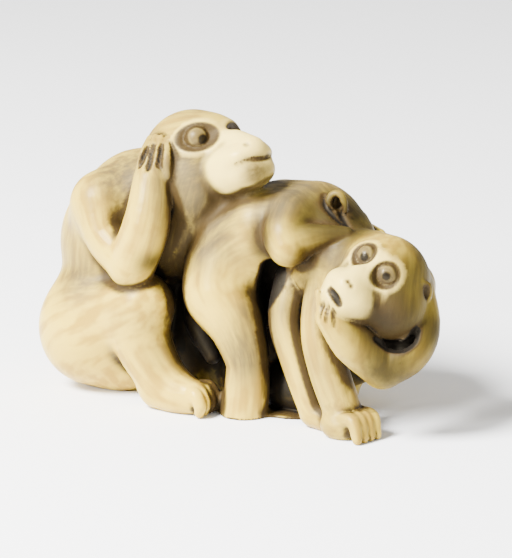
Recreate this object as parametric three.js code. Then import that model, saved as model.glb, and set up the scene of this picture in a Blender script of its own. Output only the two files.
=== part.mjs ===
// Netsuke: the three monkeys that hear, see and speak no evil, carved as one from ivory.
// Millimetres, +Z up. X runs along the row, from the monkey that hears no evil at -X to the one
// that speaks no evil at +X. They look out toward -Y. The underside lies in the plane Z = 0.
//
// The form is modelled like clay: balls and limbs melt into one another in a distance field,
// eyes and ears are pressed in, and the skin of the field becomes the faceted solid.

import * as THREE from "three";
import { edgeTable, triTable } from "three/addons/objects/MarchingCubes.js";

// ---- driving dimensions ----
const HEAD = [6.2, 5.6, 6.0];          // half length, half width and half height of a skull
const CORD_RADIUS = 1.6;               // the cord channel in the back
const MIDDLE = [2.4, -1.9];            // x and y over which the row is centred
const LOW = [-26, -17, -0.8];          // the block of ivory it is carved from
const HIGH = [31, 14, 36];
const STEP = 0.6;                      // spacing of the field's samples
const MOST_TRIANGLES = 9600;
const IVORY = { color: 0xdccb9f, roughness: 0.34, metalness: 0 };

// ---- the skeletons: places on the near side, mirrored in y = plane for the far side ----
const HEARS = {
  plane: -0.6,
  armPlane: -0.9,
  head: [-4.9, -1.2, 26.3],
  loin: [-14.2, -0.4, 8.2],
  chest: [-14.6, -0.4, 16.3],
  shoulders: [-11.9, -0.5, 20.8],
  neck: [[-12, -0.5, 21], [-7.5, -0.8, 22.8], [-4, -1, 23.5]],
  throat: [[-8, -0.6, 18], [-3.8, -1, 20.5], [-1.2, -1.2, 22.8]],
  hip: [-16.4, -5, 7],
  seat: [-13, -3.6, 3.6],
  thigh: [[-14.8, -5.4, 7.8], [-7.8, -7.4, 11.5]],
  shin: [[-8.5, -7.4, 10.6], [-8, -7.8, 7.5], [-5.9, -8.1, 4.2], [-3.5, -8.3, 2.4]],
  foot: [[-5.5, -8.2, 2.2], [-2.6, -8.6, 1.9], [-0.9, -8.8, 1.9]],
  toe: [[-1.6, -9.4, 2.3], [-0.1, -10, 2.5], [0.7, -10.3, 1.5], [0.6, -10.3, 0.6]],
  shoulder: [-14.5, -5.6, 21.4],
  upperArm: [[-14.2, -6, 21.5], [-12.6, -7.4, 18.4], [-8.9, -8.6, 16]],
  forearm: [[-8.7, -8.6, 16], [-6.5, -9.2, 20.8], [-6.7, -7.6, 25.2]],
  hand: [-6.7, -6.9, 26.4],
  fingers: [-6.7, -6.7, 27.9],
};
const SEES = {
  plane: -0.6,
  back: [[0.1, -0.6, 13.1], [1.6, -0.8, 17.1], [5.5, -0.6, 19.5], [9.9, -0.8, 20.7]],
  blade: [[1.3, -2.9, 18.8], [4.8, -3.5, 20.5]],
  head: [11.4, -1.2, 20.4],
  face: [13.7, -1.2, 19.6],
  ear: [13.7, -2.8, 23.9],
  leg: [[0.3, -3.6, 15.5], [0.4, -4.6, 13], [2.9, -5.8, 9.8], [4.5, -6.3, 5.6], [4.1, -6.5, -0.2]],
  base: [7.5, -4.5, -0.1],
  shoulder: [8.6, -4.2, 21.9],
  upperArm: [[9.2, -5, 22.1], [9.4, -6.8, 20.9], [10.1, -7.4, 19.9]],
  forearm: [[10.1, -7.2, 20.2], [12.7, -6.2, 20.9], [15.6, -4.6, 21.2]],
  farDrop: 1.9,
  farEarDrop: 1.6,
  hollow: [[7.2, -5.6, 16.4], [6.5, -4.4, 13.6], [7.2, -3.4, 9.6]],
  tail: [[-4.2, -1.5, 10.9], [-3.7, -2.5, 8.3], [-1.7, -3, 5]],
};
const SPEAKS = {
  head: [20, -5, 16.1],
  cheek: [22.4, -6.8, 14.2],
  rump: [12.2, 1.8, 9.6],
  chest: [15.6, 0.6, 13.4],
  nape: [[10.4, -1.4, 15.4], [13.6, -3, 17.4], [17.9, -3.4, 17.2]],
  shoulder: [[18.5, 0, 14.5], [21.5, -1.5, 15.5], [23.1, -3.6, 15.3]],
  upperArm: [[22.9, -3.6, 15.3], [24.7, -5.2, 12.1], [24.5, -7.4, 9.8], [22.1, -8.8, 8.3]],
  forearm: [[22.1, -8.8, 8.3], [19.6, -11, 11.2], [17.6, -12.2, 14.1]],
  hand: [[17.4, -12.5, 14.6], [16.9, -12.2, 16.6]],
  underCheek: [
    [22.2, -10.5, 11.7], [23.4, -9.7, 11], [24.7, -9.4, 11.1], [25.4, -8.6, 11.7], [25.5, -7.7, 12.5],
  ],
  plantedArm: [[13.6, -4.6, 15.6], [13.6, -6.6, 10.9], [15, -7.5, 6.8], [17.1, -8.4, 2.8]],
  palm: [17.5, -9.3, 1.3],
  plantedFinger: [[17.7, -9.9, 2.1], [19.5, -10.6, 2.2], [20.3, -11.2, 0.5]],
  rightLeg: [[8.6, -2.5, 14.5], [8.5, -4.6, 10.8], [10.5, -5.8, 6.5], [13.1, -7.2, 1.7]],
  rightFoot: [[13.1, -7.2, 1.5], [16, -8.2, 0.9]],
  leftThigh: [[12.5, 4.6, 8], [13.4, 5.4, 8.6]],
  leftShin: [[13.4, 5.4, 8.6], [12.2, 5, 4.6], [10.8, 4.6, 1.2]],
  leftFoot: [[10.8, 4.4, 0.6], [11.8, 1.8, 0.4]],
};
// where facets stay fine, with the reach: two faces, an ear, hands, feet and the slot under a cheek
const FINE_PLACES = [
  [[0, -3.5, 28], 5], [[18.5, -10, 17], 4.5], [[14, -4.5, 24], 2], [[-6.8, -7.5, 28], 2.5],
  [[17.3, -12.5, 15], 2.5], [[19.5, -9, 1.5], 2.5], [[0.5, -10, 2], 2], [[24, -9, 11.5], 2],
];
const FINE_CARE = 12;
// the solid ivory left between the legs: its places and radii
const WEBS = [
  [[-5, 2.5, 6], [5, 5.5, 9]], [[7.5, 3, 6], [6.5, 4.6, 9.5]], [[0.5, 2.2, 5], [4, 4, 8]],
  [[8.6, -0.6, 2.2], [5, 4, 3.6]], [[14.2, 2.8, 18.8], [1.3, 1.3, 1.3]],
];
const CORD = [[-25, 5, 7], [-16.5, 3, 8.5], [-15, 2.5, 12], [-16, 3, 15.5], [-24, 5, 18]];

// ---- the clay ----
class Clay {
  constructor() {
    this.count = LOW.map((low, i) => Math.ceil((HIGH[i] - low) / STEP) + 1);
    this.value = new Float64Array(this.count[0] * this.count[1] * this.count[2]).fill(6);
  }

  index(i, j, k) {
    return (i * this.count[1] + j) * this.count[2] + k;
  }

  // change every sample in a box by a function of its value and its place
  work(low, high, change) {
    const from = low.map((v, i) => Math.max(0, Math.floor((v - LOW[i]) / STEP)));
    const to = high.map((v, i) => Math.min(this.count[i] - 1, Math.ceil((v - LOW[i]) / STEP)));
    for (let i = from[0]; i <= to[0]; i++) {
      for (let j = from[1]; j <= to[1]; j++) {
        for (let k = from[2]; k <= to[2]; k++) {
          const place = [LOW[0] + i * STEP, LOW[1] + j * STEP, LOW[2] + k * STEP];
          const n = this.index(i, j, k);
          this.value[n] = change(this.value[n], place);
        }
      }
    }
  }

  add(shape, blend) {
    const [low, high] = widened(shape, 1.6 + blend);
    this.work(low, high, (value, place) => melt(value, shape.distance(place), blend));
  }

  cut(shape, blend) {
    const [low, high] = widened(shape, 1.6 + blend);
    this.work(low, high, (value, place) => -melt(-value, shape.distance(place), blend));
  }

  // raise the skin round a place, or press it in with a negative amount
  emboss(at, radii, amount, turn) {
    const shape = ball(at, radii.map((r) => 2.2 * r), turn);
    this.work(shape.low, shape.high, (value, place) => {
      return value - amount * Math.exp(-(stretch(place, at, radii, turn) ** 2));
    });
  }

  // raise a rim round a place
  rim(at, radii, width, amount, turn) {
    const shape = ball(at, radii.map((r) => 1.7 * r), turn);
    this.work(shape.low, shape.high, (value, place) => {
      const off = (stretch(place, at, radii, turn) - 1) / width;
      return value - amount * Math.exp(-(off ** 2));
    });
  }

  read(place) {
    const g = place.map((v, i) => THREE.MathUtils.clamp((v - LOW[i]) / STEP, 0, this.count[i] - 1.001));
    const [i, j, k] = g.map(Math.floor);
    const t = g.map((v) => v - Math.floor(v));
    let sum = 0;
    for (const [a, b, c] of CORNERS) {
      const share = (a ? t[0] : 1 - t[0]) * (b ? t[1] : 1 - t[1]) * (c ? t[2] : 1 - t[2]);
      sum += share * this.value[this.index(i + a, j + b, k + c)];
    }
    return sum;
  }

  // the nearest place on the skin
  onSkin(place) {
    let p = new THREE.Vector3(...place);
    for (let turn = 0; turn < 4; turn++) {
      const slope = new THREE.Vector3(...[0, 1, 2].map((axis) => {
        const ahead = p.toArray();
        const behind = p.toArray();
        ahead[axis] += STEP;
        behind[axis] -= STEP;
        return this.read(ahead) - this.read(behind);
      }));
      p = p.addScaledVector(slope.normalize(), -this.read(p.toArray()));
    }
    return p.toArray();
  }
}

const CORNERS = [[0, 0, 0], [1, 0, 0], [1, 1, 0], [0, 1, 0], [0, 0, 1], [1, 0, 1], [1, 1, 1], [0, 1, 1]];
const EDGES = [
  [0, 1], [1, 2], [2, 3], [3, 0], [4, 5], [5, 6], [6, 7], [7, 4], [0, 4], [1, 5], [2, 6], [3, 7],
];
const UNTURNED = new THREE.Matrix3();

// the lesser of two distances, rounded where they are about alike
function melt(a, b, blend) {
  const h = THREE.MathUtils.clamp(0.5 + 0.5 * (b - a) / blend, 0, 1);
  return b + (a - b) * h - blend * h * (1 - h);
}

function widened(shape, by) {
  return [shape.low.map((v) => v - by), shape.high.map((v) => v + by)];
}

// a place as seen from a ball's own axes
function inAxes(place, at, turn) {
  const offset = new THREE.Vector3(place[0] - at[0], place[1] - at[1], place[2] - at[2]);
  return offset.applyMatrix3(turn.clone().transpose()).toArray();
}

function stretch(place, at, radii, turn) {
  return Math.hypot(...inAxes(place, at, turn).map((v, i) => v / radii[i]));
}

function ball(at, radii, turn = UNTURNED) {
  const back = turn.clone().transpose();
  const reach = [0, 1, 2].map((i) => {
    return Math.hypot(...radii.map((r, j) => r * turn.elements[3 * j + i]));
  });
  const offset = new THREE.Vector3();
  const distance = (place) => {
    offset.set(place[0] - at[0], place[1] - at[1], place[2] - at[2]).applyMatrix3(back);
    const [x, y, z] = [offset.x / radii[0], offset.y / radii[1], offset.z / radii[2]];
    const near = Math.hypot(x, y, z);
    return near * (near - 1) / Math.max(1e-6, Math.hypot(x / radii[0], y / radii[1], z / radii[2]));
  };
  return { low: at.map((v, i) => v - reach[i]), high: at.map((v, i) => v + reach[i]), distance };
}

// a tapering limb along a smooth curve through the places
function limb(places, radii) {
  const knots = places.map((p) => new THREE.Vector3(...p));
  const curve = new THREE.CatmullRomCurve3(knots, false, "catmullrom", 0.5);
  const steps = 5 * (places.length - 1);
  const joints = Array.from({ length: steps + 1 }, (_, i) => {
    const t = i / steps * (places.length - 1);
    const from = Math.min(Math.floor(t), places.length - 2);
    const r = THREE.MathUtils.lerp(radii[from], radii[from + 1], t - from);
    return { at: curve.getPoint(i / steps).toArray(), r };
  });
  const distance = (place) => {
    let best = Infinity;
    for (let i = 0; i < steps; i++) {
      best = Math.min(best, toBone(place, joints[i], joints[i + 1]));
    }
    return best;
  };
  const ends = [0, 1, 2].map((axis) => [
    Math.min(...joints.map((j) => j.at[axis] - j.r)),
    Math.max(...joints.map((j) => j.at[axis] + j.r)),
  ]);
  return { low: ends.map((e) => e[0]), high: ends.map((e) => e[1]), distance };
}

function toBone(place, start, end) {
  let along = 0;
  let length = 0;
  for (let i = 0; i < 3; i++) {
    const bone = end.at[i] - start.at[i];
    along += (place[i] - start.at[i]) * bone;
    length += bone * bone;
  }
  const t = THREE.MathUtils.clamp(along / Math.max(length, 1e-9), 0, 1);
  const off = Math.hypot(...place.map((v, i) => v - start.at[i] - t * (end.at[i] - start.at[i])));
  return off - start.r - t * (end.r - start.r);
}

// axes turned by yaw about z, pitch with the nose up and roll about the nose, in degrees
function turned(yaw, pitch = 0, roll = 0) {
  const angles = [roll, -pitch, yaw].map(THREE.MathUtils.degToRad);
  const matrix = new THREE.Matrix4().makeRotationFromEuler(new THREE.Euler(...angles, "ZYX"));
  return new THREE.Matrix3().setFromMatrix4(matrix);
}

// what of a shape lies outside all of the kept shapes
function spared(shape, kept) {
  const distance = (place) => {
    return Math.max(shape.distance(place), ...kept.map((k) => -k.distance(place)));
  };
  return { low: shape.low, high: shape.high, distance };
}

// ---- what the monkeys have in common ----
const SIDES = [-1, 1];

// the near side as it is given, the far side mirrored in the plane
function mirror(side, plane) {
  return (place) => (side < 0 ? place : [place[0], 2 * plane - place[1], place[2]]);
}

function shifted(place, by) {
  return place.map((v, i) => v + by[i]);
}

// a head's own frame: x to the nose, y to its left, z up
function headFrame(at, axes, size) {
  const place = (p) => {
    const v = new THREE.Vector3(...p.map((c, i) => c * size[i])).applyMatrix3(axes);
    return shifted(v.toArray(), at);
  };
  const lump = (p, radii, tilt = UNTURNED) => {
    return ball(place(p), radii.map((r, i) => r * size[i]), axes.clone().multiply(tilt));
  };
  return { axes, place, lump };
}

// muzzle: how much further than usual it juts
function head(clay, frame, muzzle) {
  clay.add(frame.lump([0, 0, 0], HEAD), 0.8);
  for (const side of SIDES) {
    clay.add(frame.lump([1.6, 3 * side, -2.4], [3.8, 2.6, 3.6]), 1.4);
  }
  clay.add(frame.lump([3.2, 0, 1.6], [3.4, 4.2, 3.4]), 1);
  clay.add(frame.lump([6.2 + 0.5 * muzzle, 0, -1.6], [3.5, 3.6, 3.1], turned(0, -14)), 1);
  clay.add(frame.lump([7.6 + muzzle, 0, -0.5], [2.9, 3.1, 1.9]), 0.7);
  clay.add(frame.lump([8.1 + muzzle, 0, -2.1], [2.7, 2.7, 2]), 0.2);
  const nose = [[5, 0, 1.5], [7.4 + 0.5 * muzzle, 0, 1.1], [9.1 + muzzle, 0, 0.2]];
  clay.add(limb(nose.map(frame.place), [1.4, 1.45, 1.35]), 0.8);
}

// lids as a rim, a socket pressed in, and an eyeball in it
function eyes(clay, frame, places, radius, width, yaw, sunk) {
  SIDES.forEach((side, i) => {
    const axes = frame.axes.clone().multiply(turned(yaw * side, 6));
    const eye = clay.onSkin(frame.place(places[i]));
    const inward = new THREE.Vector3(-0.9 - sunk[i], 0, 0).applyMatrix3(axes).toArray();
    clay.rim(eye, [2.6, 1.25 * radius * width, 1.3 * radius], 0.3, 0.26, axes);
    clay.emboss(eye, [2.6, 0.85 * radius * width, 0.9 * radius], -1.2 - 0.5 * sunk[i], axes);
    clay.add(ball(shifted(eye, inward), [radius, 1.02 * radius, 0.96 * radius], axes), 0.06);
  });
}

// ---- the three ----
function hearsNoEvil(clay) {
  const body = HEARS;
  clay.add(ball(body.loin, [7.6, 8.4, 8.8]), 0.5);
  clay.add(ball(body.chest, [6.9, 7.2, 8]), 2);
  clay.add(ball(body.shoulders, [6, 6.6, 6]), 2);
  clay.add(limb(body.neck, [5.6, 4.9, 5]), 1.5);
  clay.add(limb(body.throat, [5.4, 4.8, 4.2]), 1.5);
  const frame = headFrame(body.head, turned(-21, 17), [1, 1, 1]);
  head(clay, frame, 1.2);
  for (const side of SIDES) {
    const leg = mirror(side, body.plane);
    clay.add(ball(leg(body.hip), [5.8, 5.2, 6.4]), 2);
    clay.add(limb(body.thigh.map(leg), [5.2, 3.2]), 1.2);
    clay.add(ball(leg(body.seat), [4.4, 3.4, 3.7]), 1.2);
    clay.add(limb(body.shin.map(leg), [3.6, 3.3, 2.8, 2.2]), 1.2);
    clay.add(limb(body.foot.map(leg), [2.4, 2.2, 1.9]), 1);
    for (let i = 0; i < 3; i++) {
      const toe = body.toe.map((joint) => leg(shifted(joint, [0.1 * i, 1.3 * i, 0.1 * i])));
      clay.add(limb(toe, [1, 1, 0.9, 0.7]), 0.1);
    }
    const arm = mirror(side, body.armPlane);
    clay.add(ball(arm(body.shoulder), [3.4, 3, 3.8]), 1.8);
    clay.add(limb(body.upperArm.map(arm), [3, 2.4, 2.5]), 0.6);
    clay.add(limb(body.forearm.map(arm), [2.7, 2.6, 2.1]), 0.3);
    clay.add(ball(arm(body.hand), [2.1, 1.4, 2.4]), 0.9);
    clay.add(ball(arm(body.fingers), [1.75, 0.95, 2.4], turned(0, 0, -16 * side)), 0.5);
  }
  eyes(clay, frame, [[5.2, -3.1, 2.7], [5.4, 1.9, 1.9]], 1.35, 1.5, 36, [0.3, 0.8]);
}

function seesNoEvil(clay) {
  const body = SEES;
  clay.add(limb(body.back, [6, 6.1, 5.7, 5]), 0.35);
  for (const side of SIDES) {
    clay.add(limb(body.blade.map(mirror(side, body.plane)), [4.2, 4.2]), 1);
  }
  clay.add(ball(body.base, [4.6, 2.2, 0.6]), 0.2);
  clay.add(ball(body.head, [4.4, 4.8, 4.4]), 0.8);
  clay.add(ball(body.face, [3.4, 3.6, 3.6]), 0.8);
  for (const side of SIDES) {
    const leg = mirror(side, body.plane);
    const drop = side < 0 ? 0 : body.farDrop;
    const arm = (place) => leg(shifted(place, [0, 0, -drop]));
    const ear = side < 0 ? body.ear : shifted(body.ear, [0, 0, -body.farEarDrop]);
    clay.add(ball(arm(ear), [1.2, 0.9, 1.5]), 0.3);
    clay.cut(ball(arm(shifted(ear, [0.2, -0.9, 0.2])), [0.6, 0.7, 0.9]), 0.15);
    clay.add(limb(body.leg.map(leg), [4.5, 4.3, 3.1, 2.35, 2.7]), 0.8);
    clay.add(ball(arm(body.shoulder), [3.4, 2.6, 3]), 1.2);
    clay.add(limb(body.upperArm.map(arm), [2.7, 2.5, 2.3]), 0.6);
    clay.add(limb(body.forearm.map(arm), [2.2, 1.45, 0.9]), 0.2);
  }
  clay.add(limb(body.tail, [1.6, 1.4, 0.9]), 0.4);
  for (let depth = 0; depth < 3; depth++) {
    const hollow = body.hollow.map((place) => shifted(place, [-0.5 * depth, 1.4 * depth, 0]));
    clay.cut(limb(hollow, [1.4, 1.7, 1.3]), 0.4);
  }
}

function speaksNoEvil(clay) {
  const body = SPEAKS;
  clay.add(ball(body.rump, [6, 6.2, 7.4]), 0.3);
  clay.add(ball(body.chest, [5.2, 5.2, 5.4]), 1.5);
  clay.add(limb(body.nape, [3.4, 4, 4.4]), 0.3);
  const frame = headFrame(body.head, turned(-96.3, 10.8, -31.4), [0.78, 0.95, 0.95]);
  const cheek = ball(body.cheek, [3.4, 3.4, 3.4]);
  head(clay, frame, 0);
  clay.add(cheek, 1.2);
  eyes(clay, frame, [[5, -1.65, 2.8], [5, 1.65, 2.8]], 1.22, 1, 18, [0.1, 0.1]);
  clay.add(frame.lump([0.2, 4.7, -0.4], [1.3, 0.9, 1.5]), 0.3);
  clay.add(limb(body.shoulder, [4, 3, 2.2]), 0.6);
  clay.add(limb(body.upperArm, [2.6, 2.2, 2.2, 2.4]), 0.3);
  clay.add(limb(body.forearm, [2.4, 2.3, 1.7]), 0.12);
  clay.add(limb(body.hand, [1.2, 0.9]), 0.2);
  for (let depth = 0; depth < 2; depth++) {
    const run = body.underCheek.map((place) => shifted(place, [-0.6 * depth, 1.1 * depth, -0.3 * depth]));
    const slot = limb(run, [0.4, 0.65, 0.7, 0.65, 0.4]);
    clay.cut(spared(slot, [cheek, frame.lump([0, 0, 0], HEAD)]), 0.1);
  }
  clay.add(limb(body.plantedArm, [2.6, 2.2, 2.2, 2.1]), 0.2);
  clay.add(ball(body.palm, [2.4, 2, 1.7]), 0.6);
  for (let i = 0; i < 4; i++) {
    const finger = body.plantedFinger.map((joint) => shifted(joint, [0.3 * i, 0.95 * i, 0]));
    clay.add(limb(finger, [1, 0.8, 0.55]), 0.08);
  }
  clay.add(limb(body.rightLeg, [2.6, 2.1, 1.9, 1.6]), 0.2);
  clay.add(limb(body.rightFoot, [1.5, 1.2]), 0.3);
  clay.add(limb(body.leftThigh, [4.2, 3]), 1);
  clay.add(limb(body.leftShin, [3, 2, 1.7]), 0.4);
  clay.add(limb(body.leftFoot, [1.8, 1.3]), 0.4);
}

function carve() {
  const clay = new Clay();
  for (const [at, radii] of WEBS) {
    clay.add(ball(at, radii), 0.5);
  }
  hearsNoEvil(clay);
  seesNoEvil(clay);
  speaksNoEvil(clay);
  clay.cut(limb(CORD, CORD.map(() => CORD_RADIUS)), 0.3);
  // the underside, ground flat
  clay.work(LOW, HIGH, (value, place) => Math.max(value, -place[2]));
  return clay;
}

// ---- from the field to facets ----
// EDGES and triTable: the edges of a cell, and which of them carry a facet's corners
function skinOf(clay) {
  const places = [];
  const faces = [];
  const known = new Map();
  const crossing = (cell, [a, b]) => {
    const [p, q] = [a, b].map((corner) => cell.map((v, i) => v + CORNERS[corner][i]));
    const [m, n] = [p, q].map((corner) => clay.index(...corner));
    const key = m < n ? `${m} ${n}` : `${n} ${m}`;
    if (!known.has(key)) {
      const share = clay.value[m] / (clay.value[m] - clay.value[n]);
      const t = THREE.MathUtils.clamp(share, 0.05, 0.95);
      known.set(key, places.length);
      places.push(p.map((v, i) => LOW[i] + STEP * (v + t * (q[i] - v))));
    }
    return known.get(key);
  };
  for (let i = 0; i < clay.count[0] - 1; i++) {
    for (let j = 0; j < clay.count[1] - 1; j++) {
      for (let k = 0; k < clay.count[2] - 1; k++) {
        let kind = 0;
        CORNERS.forEach(([a, b, c], bit) => {
          kind |= clay.value[clay.index(i + a, j + b, k + c)] < 0 ? 1 << bit : 0;
        });
        if (edgeTable[kind] === 0) {
          continue;
        }
        for (let n = 16 * kind; triTable[n] !== -1; n += 3) {
          faces.push([2, 1, 0].map((s) => crossing([i, j, k], EDGES[triTable[n + s]])));
        }
      }
    }
  }
  return { places, faces };
}

// the plane of a face as a unit normal and its distance, twice its area, and how open it is
function planeOf(a, b, c) {
  const u = [b[0] - a[0], b[1] - a[1], b[2] - a[2]];
  const v = [c[0] - a[0], c[1] - a[1], c[2] - a[2]];
  const w = [v[0] - u[0], v[1] - u[1], v[2] - u[2]];
  const n = [u[1] * v[2] - u[2] * v[1], u[2] * v[0] - u[0] * v[2], u[0] * v[1] - u[1] * v[0]];
  const area = Math.hypot(...n);
  const unit = n.map((x) => x / Math.max(area, 1e-12));
  const offset = -(unit[0] * a[0] + unit[1] * a[1] + unit[2] * a[2]);
  const longest = Math.max(Math.hypot(...u), Math.hypot(...v), Math.hypot(...w));
  return { unit, offset, area, openness: area / longest ** 2 };
}

// how much a place counts: the faces and hands more than the backs
function care(place) {
  return FINE_PLACES.reduce((sum, [at, reach]) => {
    const off = Math.hypot(...place.map((v, i) => v - at[i])) / reach;
    return sum + FINE_CARE * Math.exp(-(off ** 2));
  }, 1);
}

// Facets are taken away, edge by edge, where the form is plainest, and stay where it is carved.
// Each vertex keeps the sum of its faces' squared distances, and the cheapest edge goes first.
class Facets {
  constructor({ places, faces }) {
    this.places = places;
    this.faces = faces;
    this.count = faces.length;
    this.around = places.map(() => new Set());
    this.stamp = places.map(() => 0);
    this.error = places.map(() => new Float64Array(10));
    faces.forEach((face, n) => {
      const { unit, offset, area } = planeOf(...face.map((v) => places[v]));
      const [a, b, c, d] = [...unit, offset];
      const terms = [a * a, a * b, a * c, a * d, b * b, b * c, b * d, c * c, c * d, d * d];
      const weight = area * care(places[face[0]]);
      for (const vertex of face) {
        this.around[vertex].add(n);
        terms.forEach((term, i) => {
          this.error[vertex][i] += weight * term;
        });
      }
    });
    this.heap = [];
    faces.forEach(([a, b, c]) => {
      [[a, b], [b, c], [c, a]].filter(([p, q]) => p < q).forEach(([p, q]) => this.offer(p, q));
    });
  }

  neighbours(vertex) {
    const found = new Set();
    this.around[vertex].forEach((n) => this.faces[n].forEach((v) => found.add(v)));
    found.delete(vertex);
    return found;
  }

  // where an edge's two ends would best become one, and what it costs
  offer(p, q) {
    const e = this.error[p].map((v, i) => v + this.error[q][i]);
    const cost = ([x, y, z]) => e[0] * x * x + 2 * e[1] * x * y + 2 * e[2] * x * z + 2 * e[3] * x
      + e[4] * y * y + 2 * e[5] * y * z + 2 * e[6] * y + e[7] * z * z + 2 * e[8] * z + e[9];
    const [from, to] = [this.places[p], this.places[q]];
    const middle = from.map((v, i) => (v + to[i]) / 2);
    const length = Math.hypot(...from.map((v, i) => v - to[i]));
    const choices = [from, to, middle];
    const matrix = new THREE.Matrix3().set(e[0], e[1], e[2], e[1], e[4], e[5], e[2], e[5], e[7]);
    if (Math.abs(matrix.determinant()) > 1e-4) {
      const best = new THREE.Vector3(-e[3], -e[6], -e[8]).applyMatrix3(matrix.invert()).toArray();
      if (Math.hypot(...best.map((v, i) => v - middle[i])) < length) {
        choices.push(best);
      }
    }
    const grounded = Math.min(from[2], to[2]) < 1e-6;
    const spots = choices.map(([x, y, z]) => [x, y, grounded ? 0 : Math.max(z, 0)]);
    const prices = spots.map((spot) => cost(spot) + 1e-5 * length * length);
    const price = Math.min(...prices);
    const place = spots[prices.indexOf(price)];
    this.push({ price, p, q, place, stamp: this.stamp[p] + this.stamp[q] });
  }

  push(item) {
    const heap = this.heap;
    let n = heap.push(item) - 1;
    while (n > 0 && heap[(n - 1) >> 1].price > item.price) {
      heap[n] = heap[(n - 1) >> 1];
      n = (n - 1) >> 1;
    }
    heap[n] = item;
  }

  pop() {
    const heap = this.heap;
    const top = heap[0];
    const last = heap.pop();
    if (heap.length === 0) {
      return top;
    }
    let n = 0;
    for (let child = 1; child < heap.length; child = 2 * n + 1) {
      if (child + 1 < heap.length && heap[child + 1].price < heap[child].price) {
        child += 1;
      }
      if (heap[child].price >= last.price) {
        break;
      }
      heap[n] = heap[child];
      n = child;
    }
    heap[n] = last;
    return top;
  }

  // the mean direction of the faces round a vertex
  outward(vertex) {
    const sum = new THREE.Vector3();
    this.around[vertex].forEach((n) => {
      const { unit, area } = planeOf(...this.faces[n].map((v) => this.places[v]));
      sum.addScaledVector(new THREE.Vector3(...unit), area);
    });
    return sum.normalize().toArray();
  }

  // whether the faces round a vertex keep their side and stay open when it moves
  holds(vertex, other, place) {
    const outward = this.outward(vertex);
    for (const n of this.around[vertex]) {
      const face = this.faces[n];
      if (face.includes(other)) {
        continue;
      }
      const before = planeOf(...face.map((v) => this.places[v]));
      const corners = face.map((v) => (v === vertex ? place : this.places[v]));
      const after = planeOf(...corners);
      const side = before.openness < 0.1 ? outward : before.unit;
      const turn = side.reduce((sum, v, i) => sum + v * after.unit[i], 0);
      if (turn < 0.35 || after.openness < Math.min(0.15, before.openness)) {
        return false;
      }
    }
    return true;
  }

  join({ p, q, place }) {
    for (const n of [...this.around[q]]) {
      if (this.around[p].has(n)) {
        this.faces[n].forEach((v) => this.around[v].delete(n));
        this.faces[n] = null;
        this.count -= 1;
      } else {
        this.faces[n] = this.faces[n].map((v) => (v === q ? p : v));
        this.around[p].add(n);
      }
    }
    this.around[q].clear();
    this.places[p] = place;
    this.error[p] = this.error[p].map((v, i) => v + this.error[q][i]);
    this.stamp[p] += 1;
    this.stamp[q] = Infinity;
    this.neighbours(p).forEach((v) => {
      this.offer(Math.min(p, v), Math.max(p, v));
    });
  }

  lighten(most) {
    while (this.count > most && this.heap.length > 0) {
      const edge = this.pop();
      const fresh = this.stamp[edge.p] + this.stamp[edge.q] === edge.stamp;
      if (!fresh || this.around[edge.p].size === 0) {
        continue;
      }
      const beyond = this.neighbours(edge.q);
      const shared = [...this.neighbours(edge.p)].filter((v) => beyond.has(v));
      const sound = shared.length === 2 && this.holds(edge.p, edge.q, edge.place)
        && this.holds(edge.q, edge.p, edge.place);
      if (sound) {
        this.join(edge);
      }
    }
  }

  geometry() {
    const kept = this.faces.filter((face) => face !== null);
    const numbers = new Map();
    kept.flat().forEach((v) => {
      if (!numbers.has(v)) {
        numbers.set(v, numbers.size);
      }
    });
    const centring = [-MIDDLE[0], -MIDDLE[1], 0];
    const corners = [...numbers.keys()].flatMap((v) => shifted(this.places[v], centring));
    const shape = new THREE.BufferGeometry();
    shape.setAttribute("position", new THREE.Float32BufferAttribute(corners, 3));
    shape.setIndex(kept.flat().map((v) => numbers.get(v)));
    shape.computeVertexNormals();
    return shape;
  }
}

const facets = new Facets(skinOf(carve()));
facets.lighten(MOST_TRIANGLES);
const monkeys = new THREE.Mesh(facets.geometry(), new THREE.MeshStandardMaterial(IVORY));
monkeys.name = "three_monkeys";

const netsuke = new THREE.Group();
netsuke.name = "netsuke";
netsuke.add(monkeys);

export default netsuke;
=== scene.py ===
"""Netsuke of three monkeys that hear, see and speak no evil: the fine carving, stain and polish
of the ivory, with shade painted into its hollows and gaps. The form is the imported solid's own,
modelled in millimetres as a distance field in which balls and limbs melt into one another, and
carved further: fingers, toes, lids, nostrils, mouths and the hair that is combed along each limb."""
import math

import bpy
import numpy as np
from mathutils import Matrix, Vector


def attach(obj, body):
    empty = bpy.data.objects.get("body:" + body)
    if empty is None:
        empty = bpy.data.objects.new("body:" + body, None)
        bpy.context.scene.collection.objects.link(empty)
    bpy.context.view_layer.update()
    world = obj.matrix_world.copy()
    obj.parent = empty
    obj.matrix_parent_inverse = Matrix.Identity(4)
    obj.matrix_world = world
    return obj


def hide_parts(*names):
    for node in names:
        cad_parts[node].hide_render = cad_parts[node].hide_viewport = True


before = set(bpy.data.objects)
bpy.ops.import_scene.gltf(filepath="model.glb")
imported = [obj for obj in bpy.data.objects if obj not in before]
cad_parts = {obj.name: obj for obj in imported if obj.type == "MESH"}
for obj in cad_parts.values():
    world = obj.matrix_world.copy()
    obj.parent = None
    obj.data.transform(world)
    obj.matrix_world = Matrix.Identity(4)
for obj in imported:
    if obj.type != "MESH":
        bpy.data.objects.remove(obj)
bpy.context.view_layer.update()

# ---- sizes in millimetres, as in the solid ----
MM = 0.001
HEAD = (6.2, 5.6, 6.0)
CORD_RADIUS = 1.6
MIDDLE = (2.4, -1.9)
LOW = (-26, -17, -1.0)
HIGH = (31, 14, 36)
CELL = 0.2
MOST_TRIANGLES = 192000
SIDES = (-1, 1)
MARGIN = 1.6
FAR = 6
FULL_INK = 0.12

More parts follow.
